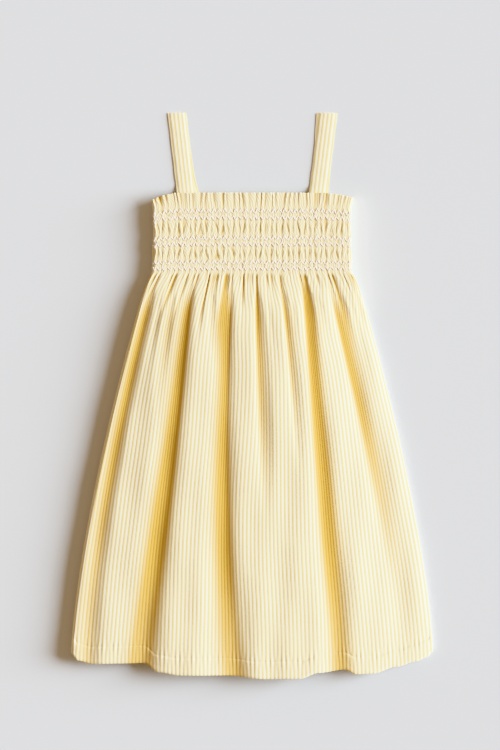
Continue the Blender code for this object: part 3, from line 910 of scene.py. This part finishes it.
# %% The tube round a path
def strap_mesh(line, material):
    """A flat tube along the path, with rounded edges, slight puckers and a hollow inside."""
    path = strap_path(line)
    along = np.gradient(path, axis=0)
    along /= np.linalg.norm(along, axis=1)[:, None]
    across = np.array([1.0, 0, 0])
    out = np.cross(across, along)
    out /= np.linalg.norm(out, axis=1)[:, None]
    length = np.concatenate([[0], np.cumsum(np.linalg.norm(np.diff(path, axis=0), axis=1))])
    rows, ring = len(path), 44
    angle = 2 * pi * np.arange(ring) / ring
    wide = np.sign(np.cos(angle)) * np.abs(np.cos(angle)) ** 0.62
    thick = np.sign(np.sin(angle)) * np.abs(np.sin(angle)) ** 0.6
    crumple = 1 + 0.12 * np.sin(length[:, None] / (3.1 * MM) + 3 * wide[None, :])
    seam = 1 - 0.25 * np.exp(-(((np.abs(wide) - 0.84) / 0.05) ** 2))
    sway = 1 + 0.012 * np.sin(length / (4.6 * MM))
    droop = STRAP_DROOP * np.clip((path[:, 2] - 0.8 * MM) / (0.5 * MM), 0, 1)
    narrower = np.where(np.arange(rows) > rows // 2, 0.95, 1.0)
    layers = []
    for inset in (0.0, STRAP_WALL):
        half_thick = (STRAP_HALF - inset) * thick[None, :] * crumple * seam[None, :]
        half_wide = (STRAP_WIDTH / 2 * sway * narrower - inset)[:, None] * wide[None, :]
        layer = path[:, None, :] + across * half_wide[..., None] + out[:, None, :] * half_thick[..., None]
        layer[..., 2] -= droop[:, None] * np.abs(wide[None, :]) ** 3
        layers.append(layer)
    points = np.concatenate([layer.reshape(-1, 3) for layer in layers])
    number = np.arange(2 * rows * ring).reshape(2, rows, ring)
    following = np.roll(number, -1, axis=2)
    walls = [
        np.stack([ring_a[:-1], ring_b[:-1], ring_b[1:], ring_a[1:]], axis=-1).reshape(-1, 4)
        for ring_a, ring_b in zip(number, following)
    ]
    rims = [
        np.stack([number[0, end], following[0, end], following[1, end], number[1, end]], axis=-1)
        for end in (0, -1)
    ]
    faces = np.concatenate(walls + rims).tolist()
    u = np.broadcast_to(0.5 + wide * 0.5, (2, rows, ring)).ravel()
    v = np.broadcast_to((length / LENGTH)[None, :, None], (2, rows, ring)).ravel()
    # Painted shade: the strap's under half is darkened towards gold.
    shade = np.where(np.arange(rows) > rows // 2, 0.4, 0.0)
    shade = np.broadcast_to(shade[None, :, None], (2, rows, ring)).ravel()
    return cloth_object(line.name + "_cloth", points, faces, u, v, shade, material), length[-1]


# %% [markdown]
# Both straps are made in the same way, each along its own path. Their cloth is the
# same seersucker with fewer stripes across, and each takes the place of its solid.

# %% Make both straps
strap_cloth = seersucker("strap_seersucker", STRAP_WIDTH / STRIPE_PITCH, STRAP_WIDTH, LENGTH, 0.6)
strap_pieces = []
for line in STRAPS:
    piece, strap_length = strap_mesh(line, strap_cloth)
    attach(piece, "root")
    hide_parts(line.name)
    strap_pieces.append(piece)
    print(piece.name, "length", round(strap_length, 4))

# %% [markdown]
# ## Thread
# White thread zigzags over the pleats, two lines to a band, so that they close into
# diamonds, and one line of small stitches holds the hem. Drawn on the cloth it would
# look flat. So each line is a curve with a round bevel, laid along the cloth and
# turned into a mesh.

# %% Height of the cloth and material of the thread
def front_height(x, y):
    """Height of the front cloth's nearest point to each place."""
    rows = np.argmin(np.abs(front[1][:, COLUMNS // 2][None, :] - y[:, None]), axis=1)
    heights = np.empty(len(x))
    for n, row in enumerate(rows):
        heights[n] = np.interp(x[n], front[0][row], front[2][row])
    return heights


def thread_material():
    material = bpy.data.materials.new("cotton_thread")
    material.use_nodes = True
    tree = material.node_tree
    shader = tree.nodes["Principled BSDF"]
    start = Value(tree, shader.outputs[0])
    place = start.node("ShaderNodeTexCoord")
    ply = start.node(
        "ShaderNodeTexNoise",
        {"Vector": Value(tree, place.outputs["Object"]), "Scale": 1800.0, "Detail": 1.0},
    )
    grain = Value(tree, ply.outputs[0])
    tree.links.new(grain.mix(srgb(255, 244, 238), srgb(255, 251, 248)).socket, shader.inputs["Base Color"])
    bump = start.node("ShaderNodeBump", {"Strength": 0.4, "Distance": 0.0002, "Height": grain})
    tree.links.new(bump.outputs[0], shader.inputs["Normal"])
    shader.inputs["Roughness"].default_value = 0.7
    shader.inputs["Sheen Weight"].default_value = 0.2
    return material


cotton = thread_material()
print("material:", cotton.name)


# %% [markdown]
# Several lines share one piece, so that a band of smocking is one mesh. The bevel
# leaves doubled points where the caps meet the tube, and they are merged.

# %% Threads as one mesh
def thread_piece(name, lines, thickness):
    """One mesh from several lines of points, each a round thread."""
    bpy.ops.object.select_all(action="DESELECT")
    curve = bpy.data.curves.new(name, "CURVE")
    curve.dimensions = "3D"
    curve.bevel_depth = thickness / 2
    curve.bevel_resolution = 1
    curve.use_fill_caps = True
    for points in lines:
        spline = curve.splines.new("POLY")
        spline.points.add(len(points) - 1)
        flat = np.concatenate([points, np.ones((len(points), 1))], axis=1)
        spline.points.foreach_set("co", flat.astype(np.float32).ravel())
    obj = bpy.data.objects.new(name, curve)
    bpy.context.scene.collection.objects.link(obj)
    bpy.context.view_layer.objects.active = obj
    obj.select_set(True)
    bpy.ops.object.convert(target="MESH")
    bpy.ops.object.mode_set(mode="EDIT")
    bpy.ops.mesh.select_all(action="SELECT")
    bpy.ops.mesh.remove_doubles(threshold=1e-6)
    bpy.ops.mesh.normals_make_consistent(inside=False)
    bpy.ops.object.mode_set(mode="OBJECT")
    obj.data.name = name
    obj.data.materials.clear()
    obj.data.materials.append(cotton)
    obj.data.shade_smooth()
    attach(obj, "root")
    print(name, "faces:", len(obj.data.polygons))
    return obj


# %% [markdown]
# A real smocking stitch catches two pleats at a time, now on one line and now on the
# next. A line that swings down and up once a pleat shows the same diamonds. Each
# swing is a little longer or shorter than the next, as in the photo.

# %% Zigzags of the three bands
THREAD_WIDTH = 0.9 * MM
for number, band in enumerate(BANDS):
    lines = []
    for top, low, first in ((band[0], band[1], 0), (band[1], band[2], 1)):
        count = PLEATS * 8
        place = np.linspace(0.4, PLEATS - 0.4, count + 1)
        swing = np.abs(((place + 0.5 * first) % 1) - 0.5) * 2
        swing = 0.5 + (swing - 0.5) * (0.8 + 0.4 * uneven(np.floor(place * 2), number))
        down = (top + 0.4 + (low - top - 0.8) * swing) * MM
        down = down + 0.35 * MM * np.sin(1.7 * place + number)
        across = 2 * place / PLEATS - 1
        x = section(across, down - BODICE_DEPTH)[0]
        fall = np.clip(1 - down / BODICE_DEPTH, 0, 1)
        y = TOP_Y - down - top_drop(x / BODICE_HALF) * fall
        z = front_height(x, TOP_Y - down)
        near = np.stack([np.roll(z, k) for k in range(-3, 4)])
        z = blend(z, near.max(axis=0), 0.65)
        lines.append(np.stack([x, y, z - 0.05 * MM], axis=-1))
    thread_piece(f"smocking_thread_{number + 1}", lines, THREAD_WIDTH)

# %% [markdown]
# Each stitch of the hem is a short thread of four points. It lies in the groove of
# the hem's relief, and its ends dip into the cloth.

# %% Stitches of the hem
STITCH_SPACING = 3.4 * MM
hem_lines = []
row = row_count - len(above_hem) + int(np.argmin(np.abs(above_hem - HEM_TURN)))
for start_x in np.arange(-HEM_HALF + 8 * MM, HEM_HALF - 10 * MM, STITCH_SPACING):
    xs = start_x + np.linspace(0, 2.3 * MM, 4)
    shares = xs / HEM_HALF
    ys = -LENGTH / 2 + hem_rise(shares) + HEM_TURN - 0.4 * MM
    zs = np.interp(xs, front[0][row], front[2][row])
    lift = np.array([-0.1, 0.06, 0.06, -0.1]) * MM
    hem_lines.append(np.stack([xs, ys, zs + lift], axis=-1))
thread_piece("hem_stitches", hem_lines, 0.24 * MM)

# %% [markdown]
# ## Size of the cloth
# Each panel was cut flat, and smocked and hemmed afterwards. Half of each piece's
# surface is printed below.

for piece in (front_cloth, back_cloth, *strap_pieces):
    surface = sum(face.area for face in piece.data.polygons)
    print(piece.name, "half surface", round(surface / 2, 4))

# %% [markdown]
# ## Floor, light and camera
# The surface in the photo is plain and pale. A plane just under the dress stands in
# for it. It belongs to the picture and not to the part.

# %% Floor
bpy.ops.object.select_all(action="DESELECT")
bpy.ops.mesh.primitive_plane_add(size=6, location=(0, 0, -0.05 * MM))
floor = bpy.context.object
floor.name = "pale_floor"
bpy.ops.object.transform_apply(location=True, rotation=True, scale=True)
floor_paint = bpy.data.materials.new("pale_paint")
floor_paint.use_nodes = True
paint = floor_paint.node_tree.nodes["Principled BSDF"].inputs
paint["Base Color"].default_value = (0.69, 0.69, 0.69, 1)
paint["Roughness"].default_value = 0.9
paint["Specular IOR Level"].default_value = 0.1
floor.data.materials.append(floor_paint)
print("height of the floor:", floor.data.vertices[0].co.z)

# %% [markdown]
# The photo's main light is low on the right, soft and slightly cool. A sun lamp with
# a wide angle shines evenly over the whole dress, which an area lamp close by would
# not. The world adds a weaker warm light from all round, so shadows turn brown.

# %% Light
KEY_ELEVATION = radians(20.5)
KEY_AZIMUTH = radians(8)
level = cos(KEY_ELEVATION)
toward_key = Vector((level * cos(KEY_AZIMUTH), level * sin(KEY_AZIMUTH), sin(KEY_ELEVATION)))
key = bpy.data.lights.new("window_light", "SUN")
key.energy = 8.36
key.angle = radians(36)
key.color = (0.7165, 0.848, 1.0)
key_object = bpy.data.objects.new("window_light", key)
key_object.rotation_euler = toward_key.to_track_quat("Z", "Y").to_euler()
key_object.location = 2 * toward_key
bpy.context.scene.collection.objects.link(key_object)
world = bpy.data.worlds.new("room")
world.use_nodes = True
background = world.node_tree.nodes["Background"].inputs
background["Color"].default_value = (0.93, 0.69, 0.44, 1)
background["Strength"].default_value = 0.5
bpy.context.scene.world = world
bpy.context.scene.view_settings.view_transform = "Khronos PBR Neutral"
print("towards the main light:", toward_key)

# %% [markdown]
# The camera looks straight down, from far enough away that the view is almost flat.
# Its lens follows from the scale, so that a pixel spans as much as in the photo.

# %% Camera
PICTURE = (500, 750)
MM_PER_PIXEL = 1.06 * MM
DISTANCE = 3.2
camera_data = bpy.data.cameras.new("overhead")
camera_data.type = "PERSP"
camera_data.sensor_fit = "VERTICAL"
camera_data.sensor_height = 36
camera_data.lens = 36 * DISTANCE / (PICTURE[1] * MM_PER_PIXEL)
camera_data.clip_end = 50
camera = bpy.data.objects.new("overhead", camera_data)
camera.location = (-2.1 * MM, 21.5 * MM, DISTANCE + 8 * MM)
camera.rotation_euler = (0, 0, 0)
bpy.context.scene.collection.objects.link(camera)
bpy.context.scene.camera = camera
print("lens", camera_data.lens)
